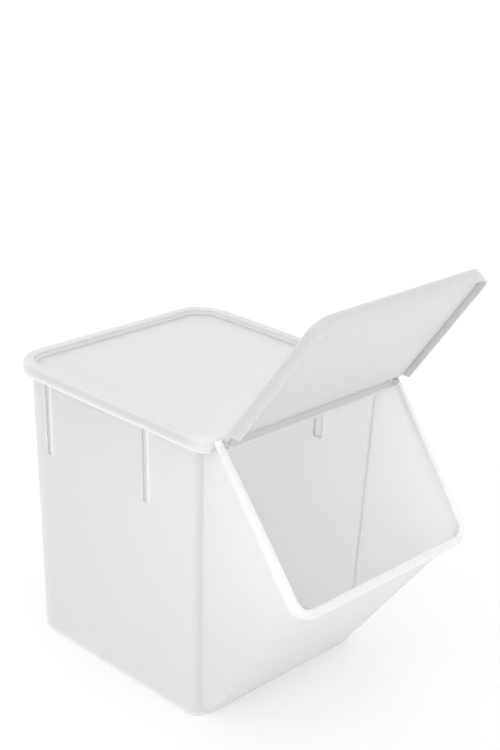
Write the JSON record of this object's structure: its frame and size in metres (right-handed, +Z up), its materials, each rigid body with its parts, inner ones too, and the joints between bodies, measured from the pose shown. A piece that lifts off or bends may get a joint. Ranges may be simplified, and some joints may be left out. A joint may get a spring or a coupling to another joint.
{
  "type": "front-access storage bin",
  "caption": "White moulded plastic storage bin with a forward beak, a slanted front mouth, a lift-off lid and a hinged front flap.",
  "frame": {"origin": "on the floor, midway across the width and midway along the fore-and-aft length of the flat base", "axes": "+X is the right of the bin seen from the front, +Y points to the back, +Z is up; the beak and mouth face -Y"},
  "size_m": [0.376, 0.5609, 0.62],
  "materials": {
    "body_plastic": "satin white moulded plastic",
    "lid_plastic": "satin white moulded plastic",
    "flap_plastic": "satin white moulded plastic",
    "pin_plastic": "satin off-white moulded plastic"
  },
  "bodies": {
    "tub": {"container": "body_plastic"},
    "lid": {"top_lid": "lid_plastic", "left_hinge_pin": "pin_plastic", "right_hinge_pin": "pin_plastic"},
    "flap": {"front_flap": "flap_plastic"}
  },
  "joints": [
    {"name": "lid_lift", "type": "slide", "parent": "tub", "child": "lid", "axis": [0, 0, 1], "range_m": [0, 0.25]},
    {"name": "flap_hinge", "type": "hinge", "parent": "lid", "child": "flap", "pos_m": [0, -0.2182, 0.4219], "axis": [1, 0, 0], "range_deg": [-43, 103]}
  ]
}
